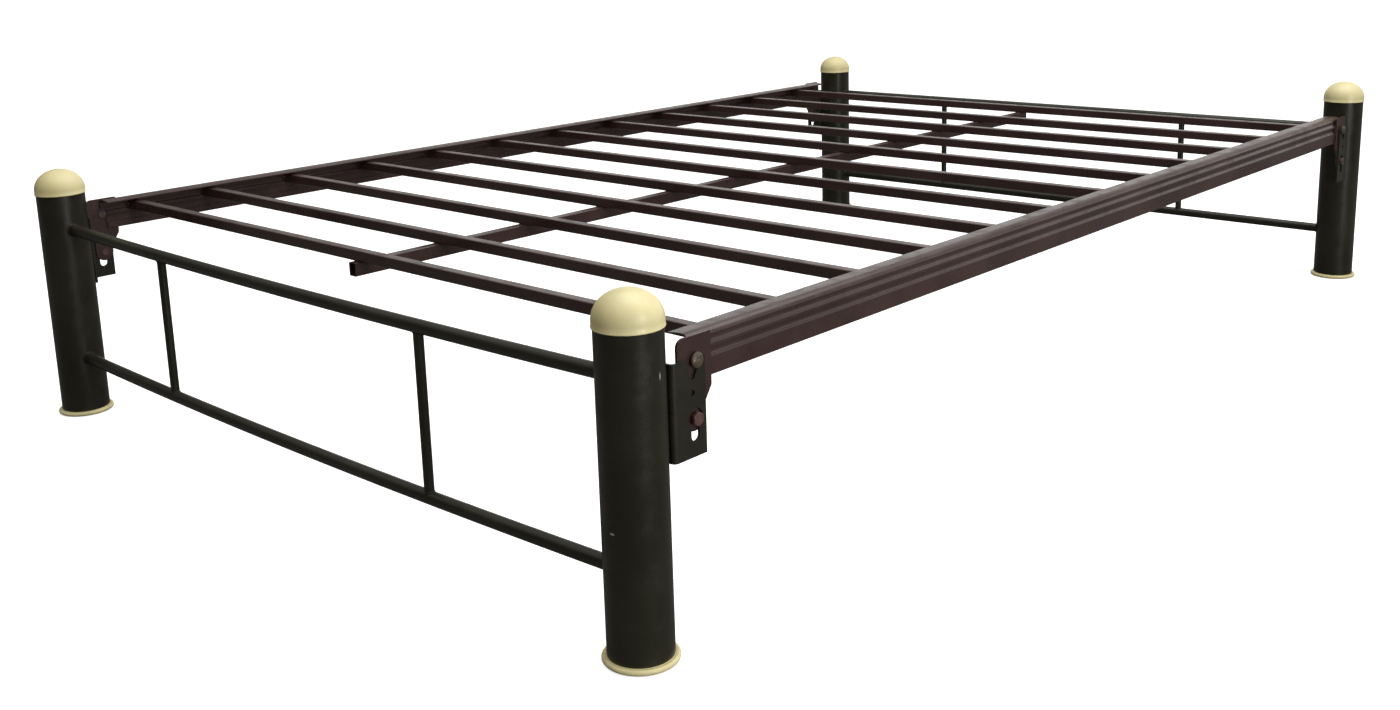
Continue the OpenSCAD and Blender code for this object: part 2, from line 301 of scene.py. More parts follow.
def rounded(corners, steps=5):
    """An outline from corners of (x, y, radius), with each corner rounded."""
    outline = []
    for i, (x, y, radius) in enumerate(corners):
        here = Vector((x, y))
        if radius == 0:
            outline.append((x, y))
            continue
        back = (Vector(corners[i - 1][:2]) - here).normalized()
        ahead = (Vector(corners[(i + 1) % len(corners)][:2]) - here).normalized()
        half = back.angle(ahead) / 2
        middle = here + (back + ahead).normalized() * radius / math.sin(half)
        start = here + back * radius / math.tan(half) - middle
        end = here + ahead * radius / math.tan(half) - middle
        turn = start.angle_signed(end)
        for k in range(steps + 1):
            spoke = start.copy()
            spoke.rotate(Matrix.Rotation(-turn * k / steps, 2))
            outline.append(tuple(middle + spoke))
    return outline


def prism(outlines, low, high, place, open_edges=()):
    """A solid from an outline and its holes, between two levels.

    place turns (a, b, level) into a point. open_edges holds the outline's edges without a wall.
    """
    points, faces = [], []
    for n, outline in enumerate(outlines):
        start, count = len(points), len(outline)
        for a, b in outline:
            points += [place(a, b, low), place(a, b, high)]
        for i in range(count):
            if n == 0 and i in open_edges:
                continue
            k = (i + 1) % count
            faces.append((start + 2 * i, start + 2 * k, start + 2 * k + 1, start + 2 * i + 1))
    flat = [[Vector((a, b, 0)) for a, b in outline] for outline in outlines]
    for triangle in tessellate_polygon(flat):
        faces.append(tuple(2 * i for i in triangle))
        faces.append(tuple(2 * i + 1 for i in reversed(triangle)))
    return points, faces


def chance_for(number):
    """Random numbers for one group of weld beads."""
    return random.Random(bpy.context.scene.bed_frame_stage.seed + number)


def weld_bead(path, radius, chance, closed=False):
    """A rippled bead along a path of points, drawn out to nothing at its ends."""
    count, sides = len(path), 8
    rings, run = [], 0.0
    for i, point in enumerate(path):
        before = path[i - 1] if closed or i else point
        after = path[(i + 1) % count] if closed or i < count - 1 else point
        along = (after - before).normalized()
        across = along.orthogonal().normalized() if i == 0 else along.cross(last).normalized()
        if i:
            across = across.cross(along).normalized()
        last = across
        run += (point - path[i - 1]).length if i else 0.0
        swell = 1 + 0.13 * math.sin(run / (1.1 * MM)) + chance.uniform(-0.07, 0.07)
        if not closed:
            swell *= min(1.0, 0.15 + 2.5 * min(i, count - 1 - i) / count)
        up = along.cross(across)
        rings.append([point + (across * math.cos(a) + up * math.sin(a)) * radius * swell
                      for a in full_turn(sides)])
    points, faces = loft(rings, loop=closed)
    if not closed:
        faces.append(tuple(range(sides)))
        faces.append(tuple(range(len(points) - sides, len(points))))
    return points, faces


def add_welds(name, beads, paint_name):
    """Puts several weld beads in the scene as one piece."""
    add_painted(f"{name}_welds", join(beads), paint_name, crease=80)


def straight_path(start, end, step=1.5 * MM):
    """Evenly spaced points of a straight path."""
    start, end = Vector(start), Vector(end)
    count = max(6, round((end - start).length / step))
    return [start.lerp(end, i / count) for i in range(count + 1)]


def from_corner(side, end):
    """Turns (out, along, up) at a post into a point: out of the bed, towards its middle, and up."""
    return lambda out, along, up: Vector((side * (POST_X + out), end * (POST_Y - along), up))


def bar_point(end, share, radial, height):
    """A point of an end frame's cross tube: share runs from -1 at the left post to 1 at the right.

    radial is how far it is outward of the tube's axis, and height is its own height.
    """
    if end > 0:
        return Vector((share * POST_X, POST_Y + radial, height))
    turn = share * BOW_SWEEP
    reach = BOW_R + radial
    return Vector((reach * math.sin(turn), -POST_Y - BOW + BOW_R - reach * math.cos(turn), height))


def bar_end(end, radial):
    """The share at which a line along a cross tube meets the post."""
    low, high = 0.5, 1.0
    for _ in range(40):
        share = (low + high) / 2
        point = bar_point(end, share, radial, 0)
        gap = math.hypot(point.x - POST_X, point.y - end * POST_Y) - POST_R
        low, high = (share, high) if gap > 0 else (low, share)
    return low


def bar_axis_y(end, x):
    """Where a cross tube's axis lies along the bed, at x from its middle."""
    if end > 0:
        return POST_Y
    return -POST_Y - BOW + BOW_R - math.sqrt(BOW_R**2 - x**2)


# ---- Finishes: shared effects ----


def feed(tree, socket, value):
    """Links a value into a socket, or sets it there."""
    if isinstance(value, bpy.types.NodeSocket):
        tree.links.new(value, socket)
    else:
        socket.default_value = value


def calculate(tree, operation, first, second):
    """A maths step."""
    node = tree.nodes.new("ShaderNodeMath")
    node.operation = operation
    node.use_clamp = operation in {"MULTIPLY", "ADD"}
    feed(tree, node.inputs[0], first)
    feed(tree, node.inputs[1], second)
    return node.outputs[0]


def times(tree, first, second):
    """A product, kept between 0 and 1."""
    return calculate(tree, "MULTIPLY", first, second)


def plus(tree, first, second):
    """A sum, kept between 0 and 1."""
    return calculate(tree, "ADD", first, second)


def on_vectors(tree, operation, first, second=None):
    """A step of vector maths."""
    node = tree.nodes.new("ShaderNodeVectorMath")
    node.operation = operation
    tree.links.new(first, node.inputs[0])
    if second:
        tree.links.new(second, node.inputs[1])
    return node.outputs


def parts_of(tree, vector):
    """The X, Y and Z parts of a vector."""
    node = tree.nodes.new("ShaderNodeSeparateXYZ")
    tree.links.new(vector, node.inputs[0])
    return node.outputs


def between(tree, value, low, high, to_low=0.0, to_high=1.0):
    """A soft step from to_low to to_high as the value goes from low to high."""
    node = tree.nodes.new("ShaderNodeMapRange")
    node.interpolation_type = "SMOOTHSTEP"
    for name, number in (("Value", value), ("From Min", low), ("From Max", high),
                         ("To Min", to_low), ("To Max", to_high)):
        feed(tree, node.inputs[name], number)
    return node.outputs["Result"]


def place_on_object(tree, stretch=(1, 1, 1)):
    """Coordinates in metres, stretched if a finish has a direction."""
    where = tree.nodes.new("ShaderNodeTexCoord").outputs["Object"]
    if stretch == (1, 1, 1):
        return where
    mapping = tree.nodes.new("ShaderNodeMapping")
    mapping.inputs["Scale"].default_value = stretch
    tree.links.new(where, mapping.inputs["Vector"])
    return mapping.outputs["Vector"]


def clouds(tree, scale, detail=3.0, roughness=0.5, stretch=(1, 1, 1)):
    """Fractal noise."""
    node = tree.nodes.new("ShaderNodeTexNoise")
    tree.links.new(place_on_object(tree, stretch), node.inputs["Vector"])
    feed(tree, node.inputs["Scale"], scale)
    node.inputs["Detail"].default_value = detail
    node.inputs["Roughness"].default_value = roughness
    return node.outputs["Fac"]


def tint(tree, share, first, second):
    """Two colours mixed by a share."""
    node = tree.nodes.new("ShaderNodeMix")
    node.data_type = "RGBA"
    feed(tree, node.inputs[0], share)
    for socket, colour in ((node.inputs[6], first), (node.inputs[7], second)):
        is_socket = isinstance(colour, bpy.types.NodeSocket)
        feed(tree, socket, colour if is_socket else (*colour, 1.0))
    return node.outputs[2]


def effect_group(name, inputs, outputs):
    """An empty node group with named number sockets."""
    tree = bpy.data.node_groups.new(name, "ShaderNodeTree")
    for label, default in inputs:
        kind = "NodeSocketVector" if isinstance(default, tuple) else "NodeSocketFloat"
        socket = tree.interface.new_socket(label, in_out="INPUT", socket_type=kind)
        socket.default_value = default
    for label in outputs:
        tree.interface.new_socket(label, in_out="OUTPUT", socket_type="NodeSocketFloat")
    return tree, tree.nodes.new("NodeGroupInput").outputs, tree.nodes.new("NodeGroupOutput").inputs


def paint_skin_group():
    """Orange peel, slow changes of tone, and smudges, as sprayed paint and moulded plastic have."""
    tree, given, result = effect_group(
        "Paint Skin", [("Peel Scale", 420.0), ("Tone Scale", 7.0)], ["Height", "Tone", "Smudge"]
    )
    peel = clouds(tree, given["Peel Scale"], detail=2)
    fine = clouds(tree, 2400.0, detail=1)
    tree.links.new(plus(tree, times(tree, peel, 0.75),
                             times(tree, fine, 0.25)), result["Height"])
    tone = clouds(tree, given["Tone Scale"], detail=4)
    tree.links.new(between(tree, tone, 0.36, 0.66), result["Tone"])
    smudge = clouds(tree, 34.0, detail=6, roughness=0.62)
    tree.links.new(between(tree, smudge, 0.42, 0.68), result["Smudge"])
    return tree


def scuffs_group():
    """Short rubbed streaks in patches, along the bed and across it."""
    tree, given, result = effect_group("Scuffs", [("Amount", 0.3), ("Scale", 60.0)], ["Mask"])
    along = clouds(tree, given["Scale"], detail=2, stretch=(9, 1, 9))
    across = clouds(tree, given["Scale"], detail=2, stretch=(1, 9, 9))
    streak = between(tree, calculate(tree, "MAXIMUM", along, across), 0.66, 0.76)
    patch = between(tree, clouds(tree, 11.0, detail=4), 0.5, 0.68)
    worn = times(tree, streak, patch)
    tree.links.new(times(tree, worn, given["Amount"]), result["Mask"])
    return tree


def settled_dust_group():
    """Dust on what faces up, thicker in patches."""
    tree, given, result = effect_group("Settled Dust", [("Amount", 0.3)], ["Mask"])
    normal = tree.nodes.new("ShaderNodeNewGeometry").outputs["Normal"]
    level = between(tree, parts_of(tree, normal)["Z"], 0.35, 0.98)
    patch = between(tree, clouds(tree, 16.0, detail=6, roughness=0.6), 0.3, 0.75, 0.35, 1.0)
    lying = times(tree, level, patch)
    tree.links.new(times(tree, lying, given["Amount"]), result["Mask"])
    return tree


def speckle_group():
    """Scattered specks, such as small chips in paint or dirt on plastic."""
    tree, given, result = effect_group(
        "Specks", [("Scale", 30.0), ("Share", 0.1), ("Size", 0.08)], ["Mask"]
    )
    cells = tree.nodes.new("ShaderNodeTexVoronoi")
    tree.links.new(place_on_object(tree), cells.inputs["Vector"])
    tree.links.new(given["Scale"], cells.inputs["Scale"])
    ragged = times(tree, clouds(tree, 900.0, detail=2), 0.06)
    reach = plus(tree, cells.outputs["Distance"], ragged)
    inside = calculate(tree, "LESS_THAN", reach, given["Size"])
    draw = tree.nodes.new("ShaderNodeSeparateColor")
    tree.links.new(cells.outputs["Color"], draw.inputs[0])
    chosen = calculate(tree, "LESS_THAN", draw.outputs["Red"], given["Share"])
    tree.links.new(times(tree, inside, chosen), result["Mask"])
    return tree


def placed_spot_group():
    """One placed spot in the paint, with a width and a height: it draws chips, and a painted
    highlight on the front right post.
    """
    tree, given, result = effect_group(
        "Single Chip", [("Place", (0.0, 0.0, 0.0)), ("Width", 0.001), ("Height", 0.003)], ["Mask"]
    )
    size = tree.nodes.new("ShaderNodeCombineXYZ")
    for axis, name in zip("XYZ", ("Width", "Width", "Height")):
        tree.links.new(given[name], size.inputs[axis])
    offset = on_vectors(tree, "SUBTRACT", place_on_object(tree), given["Place"])[0]
    shares = on_vectors(tree, "DIVIDE", offset, size.outputs[0])[0]
    reach = on_vectors(tree, "LENGTH", shares)["Value"]
    ragged = between(tree, clouds(tree, 1300.0, detail=2), 0.3, 0.7, 0.0, 0.5)
    rim = plus(tree, times(tree, reach, 0.5), ragged)
    tree.links.new(between(tree, rim, 0.45, 0.75, 1.0, 0.0), result["Mask"])
    return tree


EFFECTS = {
    "Paint Skin": paint_skin_group,
    "Scuffs": scuffs_group,
    "Settled Dust": settled_dust_group,
    "Specks": speckle_group,
    "Single Chip": placed_spot_group,
}


def effect(tree, name, **values):
    """A shared effect in a material, with its own values, built the first time it is asked for."""
    group = bpy.data.node_groups.get(name) or EFFECTS[name]()
    node = tree.nodes.new("ShaderNodeGroup")
    node.node_tree = group
    for label, value in values.items():
        node.inputs[label.replace("_", " ").title()].default_value = value
    return node.outputs


# ---- Finishes: materials ----


def new_material(name):
    """A material, its node tree and its shader."""
    material = bpy.data.materials.new(name)
    material.use_nodes = True
    tree = material.node_tree
    return material, tree, tree.nodes["Principled BSDF"]


def finish_shader(tree, shader, height, depth, values):
    """Feeds values into the shader by name, and a height of a depth in metres into its normal."""
    for name, value in values.items():
        feed(tree, shader.inputs[name], value)
    node = tree.nodes.new("ShaderNodeBump")
    node.inputs["Strength"].default_value = 1.0
    node.inputs["Distance"].default_value = depth
    tree.links.new(height, node.inputs["Height"])
    tree.links.new(node.outputs["Normal"], shader.inputs["Normal"])


# Two spots of primer colour on the front right post: place, width and height. The first, just under
# the bracket's top, is a painted highlight of the bracket's bend; the second is a chip in the
# paint.
POST_CHIP_AND_HIGHLIGHT = (
    # painted highlight at the bracket's bend, drawn in primer colour
    ((0.7075, -1.0635, 0.3287), 1.2 * MM, 4.5 * MM),
    ((0.672, -1.108, 0.1585), 3.5 * MM, 1.5 * MM),
)
FRAME_COAT = {"tone": "black", "roughness": 0.3, "dust": 0.03, "scuffs": 0.16, "specular": 0.4}
WELD_COAT = {"shade": 0.7, "roughness": 0.48, "dust": 0.04, "scuffs": 0.1, "specular": 0.35,
             "peel": 0.35 * MM}
COATS = {
    "Olive Black Paint": FRAME_COAT,
    # The front right post's paint: a chip, and a painted highlight under the bracket's top.
    "Olive Black Paint Chipped": {**FRAME_COAT, "chips": POST_CHIP_AND_HIGHLIGHT},
    "Bracket Paint": {"tone": "black", "roughness": 0.4, "dust": 0.05, "scuffs": 0.55,
                      "specular": 0.38},
    "Chocolate Paint": {"tone": "brown", "roughness": 0.27, "dust": 0.1, "scuffs": 0.3,
                        "specular": 0.62},
    "Black Weld": {"tone": "black", **WELD_COAT},
    "Brown Weld": {"tone": "brown", **WELD_COAT},
}


def coat(name):
    """A paint from the table, made the first time it is asked for."""
    return bpy.data.materials.get(name) or painted_steel(name, **COATS[name])


def painted_steel(name, tone, roughness, dust, scuffs, specular, shade=1.0, peel=0.12 * MM,
                  chips=()):
    """Sprayed satin paint on steel, with dust, scuffs and chips down to the primer.

    tone is black or brown, and shade darkens it. peel is the depth of the orange peel. chips lists
    placed spots of primer colour; on the front right post one of them is a painted highlight.
    """
    finishes = bpy.context.scene.bed_frame_finishes
    thick = [shade * c for c in getattr(finishes, tone)]
    thin = getattr(finishes, f"{tone}_light")
    rubbed_thin = [min(1.0, 2.6 * c + 0.012) for c in thin]
    material, tree, shader = new_material(name)
    skin = effect(tree, "Paint Skin")
    lying = effect(tree, "Settled Dust", amount=dust)["Mask"]
    rubbed = effect(tree, "Scuffs", amount=scuffs)["Mask"]
    chipped = effect(tree, "Specks", scale=24.0, share=0.05, size=0.045)["Mask"]
    # Placed spots are chips, except the front right post's upper one, which is a painted highlight.
    for place, width, height in chips:
        one = effect(tree, "Single Chip", place=place, width=width, height=height)
        chipped = calculate(tree, "MAXIMUM", chipped, one["Mask"])
    colour = tint(tree, skin["Tone"], thick, thin)
    colour = tint(tree, rubbed, colour, rubbed_thin)
    colour = tint(tree, lying, colour, finishes.dust)
    # Primer colour in the chips and in the painted highlight.
    colour = tint(tree, chipped, colour, finishes.primer)
    dull = between(tree, skin["Smudge"], 0.0, 1.0, roughness, roughness + 0.13)
    dull = plus(tree, dull, times(tree, lying, 0.5))
    dull = plus(tree, dull, times(tree, chipped, 0.3))
    sunk = calculate(tree, "SUBTRACT", skin["Height"], times(tree, chipped, 0.8))
    finish_shader(tree, shader, sunk, peel, {
        "Base Color": colour, "Roughness": dull, "Specular IOR Level": specular,
    })
    return material


def cream_plastic():
    """Moulded ivory plastic, a little yellowed and soiled."""
    name = "Ivory Plastic"
    if name in bpy.data.materials:
        return bpy.data.materials[name]
    tones = bpy.context.scene.bed_frame_finishes
    material, tree, shader = new_material(name)
    skin = effect(tree, "Paint Skin", peel_scale=700.0, tone_scale=13.0)
    specks = effect(tree, "Specks", scale=130.0, share=0.07, size=0.09)["Mask"]
    shade = tint(tree, skin["Tone"], tones.cream, tones.cream_aged)
    soiled = times(tree, skin["Smudge"], 0.16)
    shade = tint(tree, soiled, shade, tones.soil)
    spotted = times(tree, specks, 0.35)
    finish_shader(tree, shader, skin["Height"], 0.05 * MM, {
        "Base Color": tint(tree, spotted, shade, tones.specks),
        "Roughness": between(tree, skin["Smudge"], 0.0, 1.0, 0.36, 0.5),
        "Subsurface Weight": 0.12,
        "Subsurface Radius": (6 * MM, 4 * MM, 2 * MM),
        "Subsurface Scale": 1.0,
    })
    return material


def worn_stud(name, colour, thin, bare):
    """Paint worn down to steel on the heads of the studs; bare says how much of it."""
    tones = bpy.context.scene.bed_frame_finishes
    material, tree, shader = new_material(name)
    skin = effect(tree, "Paint Skin", peel_scale=520.0, tone_scale=60.0)
    rust = clouds(tree, 420.0, detail=5, roughness=0.65)
    worn = between(tree, clouds(tree, 260.0, detail=5, roughness=0.6), 0.62 - bare, 0.72 - bare)
    shade = tint(tree, skin["Tone"], colour, thin)
    shade = tint(tree, worn, shade, tones.steel)
    rusty = times(tree, between(tree, rust, 0.52, 0.7), 0.6)
    uneven = plus(tree, times(tree, rust, 0.6), times(tree, skin["Height"], 0.4))
    finish_shader(tree, shader, uneven, 0.4 * MM, {
        "Base Color": tint(tree, rusty, shade, tones.rust),
        "Metallic": times(tree, worn, 0.55),
        "Roughness": between(tree, skin["Smudge"], 0.0, 1.0, 0.4, 0.62),
    })
    return material


def pale_floor():
    """Plain pale floor: bright in view, and a mid grey in what the paint reflects."""
    material, tree, shader = new_material("Pale Floor")
    tone = between(tree, clouds(tree, 0.8, detail=3), 0.3, 0.7)
    bright = tint(tree, tone, (0.90, 0.90, 0.895), (0.92, 0.92, 0.915))
    in_view = tree.nodes.new("ShaderNodeLightPath").outputs["Is Camera Ray"]
    tree.links.new(tint(tree, in_view, (0.16, 0.155, 0.15), bright), shader.inputs["Base Color"])
    tree.links.new(times(tree, in_view, 0.62), shader.inputs["Emission Strength"])
    shader.inputs["Emission Color"].default_value = (1.0, 1.0, 1.0, 1.0)
    shader.inputs["Roughness"].default_value = 0.9
    shader.inputs["Specular IOR Level"].default_value = 0.1
    return material


def studio_light(strength):
    """A white room: bright overhead and low behind the head end, dim elsewhere."""
    world = bpy.data.worlds.new("studio")
    world.use_nodes = True
    tree = world.node_tree
    background = tree.nodes["Background"]
    way = parts_of(tree, tree.nodes.new("ShaderNodeTexCoord").outputs["Generated"])
    overhead = between(tree, way["Z"], 0.4, 0.95, 0.10, 1.0)
    behind = between(tree, way["Y"], 0.3, 0.7)
    low = between(tree, way["Z"], 0.3, 0.48, 1.0, 0.0)
    lit = calculate(tree, "MAXIMUM", overhead, times(tree, behind, low))
    in_view = tree.nodes.new("ShaderNodeLightPath").outputs["Is Camera Ray"]
    room = tint(tree, lit, (0.0, 0.0, 0.0), (1.0, 0.985, 0.96))
    tree.links.new(tint(tree, in_view, room, (1.0, 1.0, 1.0)), background.inputs["Color"])
    background.inputs["Strength"].default_value = strength
    return world


# ---- Pieces ----


class BEDFRAME_OT_posts(bpy.types.Operator):
    """Add the four round posts"""

    bl_idname = "bed_frame.posts"
    bl_label = "Posts"

    def execute(self, context):
        sizes = context.scene.bed_frame_sizes
        inner = POST_R - sizes.post_wall
        soft = sizes.cut_edge
        low, high = POST_LOW.z, POST_HIGH.z
        profile = [
            (POST_R - soft, low), (POST_R, low + soft), (POST_R, high - soft),
            (POST_R - soft, high), (inner, high), (inner, low),
        ]
        for name, side, end in CORNERS:
            # The front right post's paint holds a chip and a painted highlight under its bracket.
            chipped = " Chipped" if name == "front_right" else ""
            add_painted(f"{name}_leg", turned(profile, side, end, 128, loop=True),
                        f"Olive Black Paint{chipped}", f"post_{name}", flat=True)
        return {"FINISHED"}


class BEDFRAME_OT_caps(bpy.types.Operator):
    """Add the domed plastic caps on the posts"""

    bl_idname = "bed_frame.caps"
    bl_label = "Caps"

    def execute(self, context):
        sizes = context.scene.bed_frame_sizes
        rim = (CAP_HIGH.x - CAP_LOW.x) / 2
        side_r = rim - LIP_STEP
        seat, top = POST_HIGH.z, CAP_HIGH.z
        waist = seat + sizes.cap_rim
        rise = top - waist
        plug = POST_R - sizes.post_wall - PLUG_GAP
        bore = plug - sizes.cap_wall
        turn = math.pi / 2
        dome = [(side_r * math.cos(turn * i / 24), waist + rise * math.sin(turn * i / 24))
                for i in range(25)]
        hollow = [(r * bore / side_r, waist + (z - waist) * (rise - sizes.cap_wall) / rise)
                  for r, z in dome]
        lip = [
            (rim - 0.5 * MM, seat), (rim - 0.1 * MM, seat + 0.15 * MM), (rim, seat + 0.5 * MM),
            (rim, seat + sizes.cap_lip - 0.4 * MM),
            (rim - 0.15 * MM, seat + sizes.cap_lip - 0.1 * MM),
            (side_r, seat + sizes.cap_lip + 0.3 * MM),
        ]
        ring = [(bore, CAP_LOW.z), (plug - 0.8 * MM, CAP_LOW.z), (plug, CAP_LOW.z + 1.5 * MM),
                (plug, seat)]
        profile = hollow[::-1] + ring + lip + dome
        for name, side, end in CORNERS:
            add_piece(f"{name}_dome_cap", turned(profile, side, end), cream_plastic(),
                      "cream_plastic", f"cap_{name}", crease=50)
        return {"FINISHED"}


class BEDFRAME_OT_feet(bpy.types.Operator):
    """Add the flanged plastic feet under the posts"""

    bl_idname = "bed_frame.feet"
    bl_label = "Feet"

    def execute(self, context):
        sizes = context.scene.bed_frame_sizes
        rim = (FOOT_HIGH.x - FOOT_LOW.x) / 2
        seat = POST_LOW.z
        plug = POST_R - sizes.post_wall - PLUG_GAP
        bore = plug - sizes.cap_wall
        half = seat / 2
        edge = arc((rim - half, half), half, -90, 72, 12)
        profile = [
            (0, 0), *edge,
            (POST_R + 0.9 * MM, seat - 0.35 * MM), (POST_R + 0.3 * MM, seat - 0.8 * MM),
            (POST_R - 0.4 * MM, seat),
            (plug, seat), (plug, FOOT_HIGH.z - 1.5 * MM), (plug - 0.8 * MM, FOOT_HIGH.z),
            (bore, FOOT_HIGH.z), (bore, seat), (0, seat),
        ]
        for name, side, end in CORNERS:
            add_piece(f"{name}_glide", turned(profile, side, end), cream_plastic(),
                      "cream_plastic", f"foot_{name}", crease=50)
        return {"FINISHED"}


def bar_rings(end, axis_z, radius, spans, sides=40):
    """Rings along a cross tube, whose ends follow the posts' round sides."""
    angles = full_turn(sides)
    reaches = [bar_end(end, radius * math.cos(a)) for a in angles]
    return [[bar_point(end, reach * (2 * i / spans - 1), radius * math.cos(a),
                       axis_z + radius * math.sin(a)) for a, reach in zip(angles, reaches)]
            for i in range(spans + 1)]


class BEDFRAME_OT_cross_tubes(bpy.types.Operator):
    """Add the cross tubes of both end frames, bowed at the foot end"""

    bl_idname = "bed_frame.cross_tubes"
    bl_label = "Cross Tubes"

    def execute(self, context):
        sizes = context.scene.bed_frame_sizes
        for name, end in ENDS:
            spans = BOWED_SPANS if end < 0 else STRAIGHT_SPANS
            for level, axis_z in (("upper", UPPER_BAR_Z), ("lower", LOWER_BAR_Z)):
                outer = bar_rings(end, axis_z, BAR_R, spans)
                inner = bar_rings(end, axis_z, BAR_R - sizes.bar_wall, spans)
                add_painted(f"{name}_{level}_bar", loft(outer + inner[::-1], loop=True),
                            "Olive Black Paint", f"{name}_{level}_tube")
        return {"FINISHED"}


def upright_end(end, x, radius, axis_z, way, sides=32):
    """The ring at one end of an upright, which follows the cross tube's round side."""
    y = bar_axis_y(end, x)
    slope = math.asin(x / BOW_R) if end < 0 else 0.0
    ring = []
    for a in full_turn(sides):
        dx, dy = radius * math.cos(a), radius * math.sin(a)
        across = dy * math.cos(slope) - dx * math.sin(slope)
        ring.append(Vector((x + dx, y + dy, axis_z + way * math.sqrt(BAR_R**2 - across**2))))
    return ring


class BEDFRAME_OT_uprights(bpy.types.Operator):
    """Add the upright rods between the cross tubes"""

    bl_idname = "bed_frame.uprights"
    bl_label = "Uprights"

    def execute(self, context):
        for name, end in ENDS:
            for side_name, side in SIDES:
                x = side * UPRIGHT_X
                low = upright_end(end, x, UPRIGHT_R, LOWER_BAR_Z, 1)
                high = upright_end(end, x, UPRIGHT_R, UPPER_BAR_Z, -1)
                points, faces = loft([low, high])
                count = len(low)
                for start in (0, count):
                    points.append(sum(points[start:start + count], Vector()) / count)
                    centre = len(points) - 1
                    faces += [(centre, start + k, start + (k + 1) % count) for k in range(count)]
                add_painted(f"{name}_{side_name}_upright", (points, faces),
                            "Olive Black Paint", f"{name}_{side_name}_rod")
        return {"FINISHED"}


class BEDFRAME_OT_end_frame_welds(bpy.types.Operator):
    """Add the weld beads of the end frames"""

    bl_idname = "bed_frame.end_frame_welds"
    bl_label = "End Frame Welds"

    def execute(self, context):
        chance = chance_for(0)
        radius = context.scene.bed_frame_sizes.bead
        for name, end in ENDS:
            beads = []
            for axis_z in (UPPER_BAR_Z, LOWER_BAR_Z):
                for side in (-1, 1):
                    path = [bar_point(end, side * bar_end(end, BAR_R * math.cos(a)),
                                      BAR_R * math.cos(a), axis_z + BAR_R * math.sin(a))
                            for a in full_turn(48)]
                    beads.append(weld_bead(path, radius, chance, closed=True))
                    for level, way in ((UPPER_BAR_Z, -1), (LOWER_BAR_Z, 1)):
                        if level == axis_z:
                            path = upright_end(end, side * UPRIGHT_X, UPRIGHT_R, level, way, 36)
                            beads.append(weld_bead(path, 0.6 * radius, chance, closed=True))
            add_welds(f"{name}_frame", beads, "Black Weld")
        return {"FINISHED"}


def round_hole(centre, radius):
    """The outline of a round hole."""
    return arc(centre, radius, 0, 345, 23)


def keyhole(u, z, radius, slot_u, slot_r, slot_z):
    """The outline of a round hole with a slot under it that ends in a half round."""
    right = math.degrees(math.acos((slot_u + slot_r - u) / radius))
    left = math.degrees(math.acos((u - slot_u + slot_r) / radius))
    hole = arc((u, z), radius, -right, 180 + left, 36)
    return hole + arc((slot_u, slot_z), slot_r, 180, 360, 12)


class BEDFRAME_OT_brackets(bpy.types.Operator):
    """Add the slotted angle brackets on the posts, with their welds"""

    bl_idname = "bed_frame.brackets"
    bl_label = "Brackets"

    def execute(self, context):
        sizes = context.scene.bed_frame_sizes
        chance = chance_for(1)
        sheet, bend = sizes.bracket_sheet, sizes.bracket_bend
        low, high = BRACKET_LOW.z, BRACKET_HIGH.z
        out = BRACKET_HIGH.x - POST_X
        leg = BRACKET_LOW.x - POST_X
        face = POST_R - sizes.bracket_depth
        far = POST_Y - BRACKET_LOW.y
        turn_x, turn_u = out - bend, face + bend
        touch = math.sqrt(POST_R**2 - face**2)
        scoop = []
        for i in range(11):
            x = touch * (i / 5 - 1)
            scoop.append((x, math.sqrt(POST_R**2 - x**2)))
        section = [(leg, face), *scoop, *arc((turn_x, turn_u), bend, -90, 0, 8),
                   *arc((turn_x, turn_u), bend - sheet, 0, -90, 8), (leg, face + sheet)]
        seam = 1 + len(scoop) + 8
        flange = [
            (turn_u, low), (far, low), (far, high), (MOUTH_FAR, high),
            *arc((HOOK_U, high - HOOK_DROP), HOOK_R, 0, -180, 12), (MOUTH_NEAR, high),
            (turn_u, high),
        ]
        spare = round_hole((SPARE_U, high - SPARE_DROP), SPARE_R)
        key = keyhole(KEY_U, high - KEY_DROP, KEY_R, SLOT_U, SLOT_R, high - SLOT_DROP)
        for name, side, end in CORNERS:
            at = from_corner(side, end)
            bent = prism([section], low, high, at, open_edges=(seam,))
            flat = prism([flange, spare, key], out - sheet, out, lambda u, z, x: at(x, u, z),
                         open_edges=(len(flange) - 1,))
            piece = add_painted(f"{name}_hook_bracket", join([bent, flat]), "Bracket Paint",
                                f"bracket_{name}")
            round_cut_edges(piece, sizes.cut_edge)
            seams = ((leg - 0.4 * MM, face + 0.2 * MM), (touch + 3 * MM, face - 0.4 * MM))
            beads = [weld_bead(straight_path(at(x, u, low + 3 * MM), at(x, u, high - 3 * MM)),
                               sizes.bead, chance) for x, u in seams]
            add_welds(f"{name}_bracket", beads, "Black Weld")
        return {"FINISHED"}


